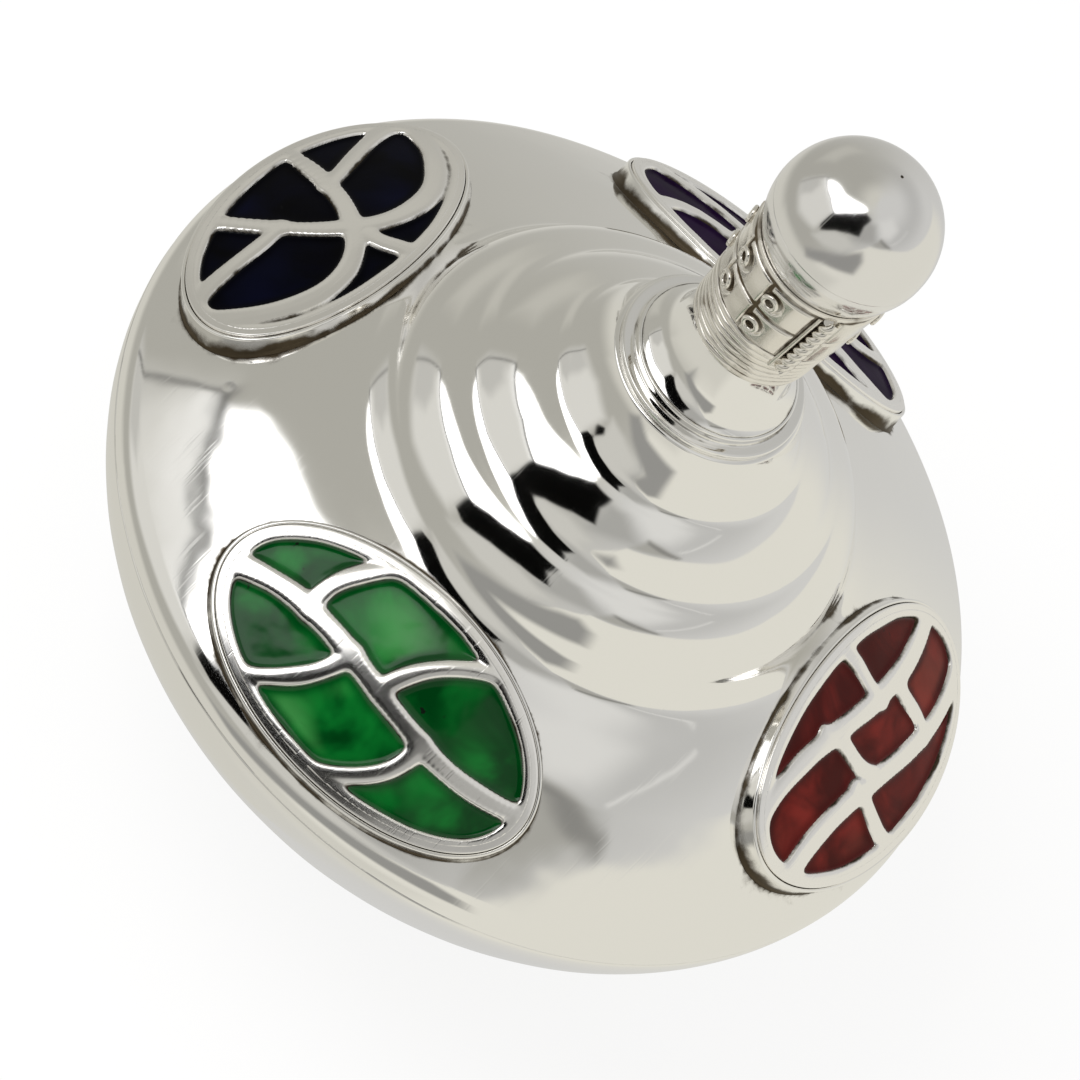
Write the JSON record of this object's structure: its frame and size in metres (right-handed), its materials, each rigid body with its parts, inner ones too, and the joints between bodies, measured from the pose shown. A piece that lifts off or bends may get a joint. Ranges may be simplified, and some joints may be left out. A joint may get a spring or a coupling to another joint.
{
  "type": "dreidel",
  "caption": "Hollow silver spinning top with a rippled shoulder, oval enamelled plaques, an ornamented stem and a ball knob.",
  "frame": {"origin": "the point of the spinning tip, where it touches the table", "axes": "+Z is the spin axis and points from the tip to the ball knob. The green plaque faces about -Y, the red one +X, the purple one +Y and the black one -X."},
  "size_m": [0.0568, 0.0568, 0.0639],
  "materials": {
    "silver": "polished silver",
    "band_silver": "polished silver, darkened in its recesses",
    "inner_silver": "plain drawn silver",
    "green_enamel": "glossy enamel",
    "red_enamel": "glossy enamel",
    "purple_enamel": "glossy enamel",
    "black_enamel": "glossy enamel"
  },
  "bodies": {
    "root": {"lower_bowl": "silver", "shoulder_shell": "silver", "spinning_tip": "silver", "tip_collar": "silver", "stem_collar": "silver", "anchor_washer": "inner_silver", "stem_rod": "inner_silver", "stem_neck": "silver", "band_sleeve": "band_silver", "reeded_ring": "band_silver", "band_pads": "band_silver", "ring_studs": "band_silver", "rope_strips": "band_silver", "band_rim": "band_silver", "knob_lower_half": "silver", "knob_upper_half": "silver", "green_bezel": "silver", "green_plate": "silver", "green_enamel": "green_enamel", "red_bezel": "silver", "red_plate": "silver", "red_enamel": "red_enamel", "purple_bezel": "silver", "purple_plate": "silver", "purple_enamel": "purple_enamel", "black_bezel": "silver", "black_plate": "silver", "black_enamel": "black_enamel"}
  },
  "joints": []
}
